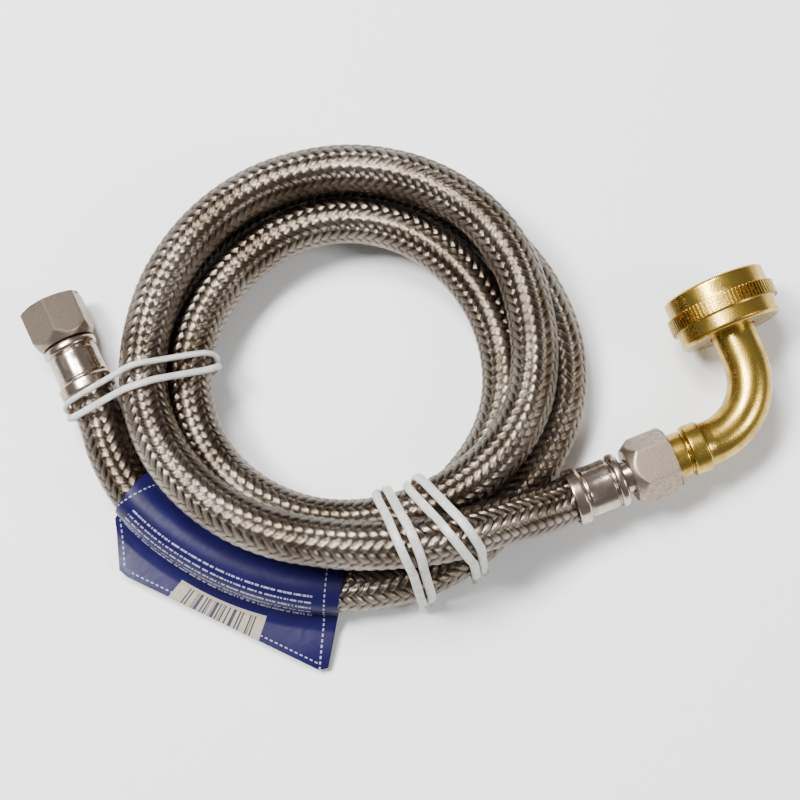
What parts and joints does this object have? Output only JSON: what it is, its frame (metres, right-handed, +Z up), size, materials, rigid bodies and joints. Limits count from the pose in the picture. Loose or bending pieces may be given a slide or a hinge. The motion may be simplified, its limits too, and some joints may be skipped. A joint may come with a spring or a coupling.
{
  "type": "braided appliance supply line",
  "caption": "Coiled braided water supply line with crimped compression fittings, and a brass elbow ending in a knurled hose-thread swivel nut, tied and labelled for sale.",
  "frame": {"origin": "on the surface the coil lies on, under the centre of the box round the fittings, ties and label", "axes": "+X along the outlet fitting's axis towards the elbow, +Y the way the swivel nut's mouth points, +Z up out of the coil"},
  "size_m": [0.211, 0.1421, 0.045],
  "materials": {
    "braid": "woven stainless wire, bright on the crests and dark between the strands",
    "liner": "matt black vinyl",
    "ferrule": "polished nickel plate over drawn steel",
    "nut": "satin nickel plate over brass",
    "brass": "satin machined brass",
    "seal": "matt black rubber",
    "tie": "soft off-white plastic over thin wire",
    "label": "glossy printed film"
  },
  "bodies": {
    "hose": {"hose_braid": "braid", "hose_liner": "liner", "inlet_ferrule": "ferrule", "inlet_hose_end": "liner", "inlet_stem": "brass", "inlet_seal": "seal", "outlet_ferrule": "ferrule", "outlet_hose_end": "liner", "outlet_stem": "brass", "outlet_seal": "seal", "left_tie": "tie", "right_tie_inner": "tie", "right_tie_outer": "tie", "label": "label"},
    "inlet_nut": {"inlet_nut": "nut"},
    "outlet_nut": {"outlet_nut": "nut"},
    "elbow": {"elbow": "brass"},
    "swivel_nut": {"swivel_nut": "brass", "hose_washer": "seal"}
  },
  "joints": [
    {"name": "inlet_nut_spin", "type": "hinge", "parent": "hose", "child": "inlet_nut", "pos_m": [-0.09119, 0.05741, 0.01074], "axis": [-0.0593, 0.9982, 0], "continuous": true},
    {"name": "outlet_nut_spin", "type": "hinge", "parent": "hose", "child": "outlet_nut", "pos_m": [0.05142, -0.04605, 0.01634], "axis": [1, 0, 0], "continuous": true},
    {"name": "elbow_turn", "type": "hinge", "parent": "hose", "child": "elbow", "pos_m": [0.06212, -0.04605, 0.01634], "axis": [1, 0, 0], "continuous": true},
    {"name": "swivel_nut_spin", "type": "hinge", "parent": "elbow", "child": "swivel_nut", "pos_m": [0.08932, -0.01205, 0.01634], "axis": [0, 1, 0], "continuous": true}
  ]
}
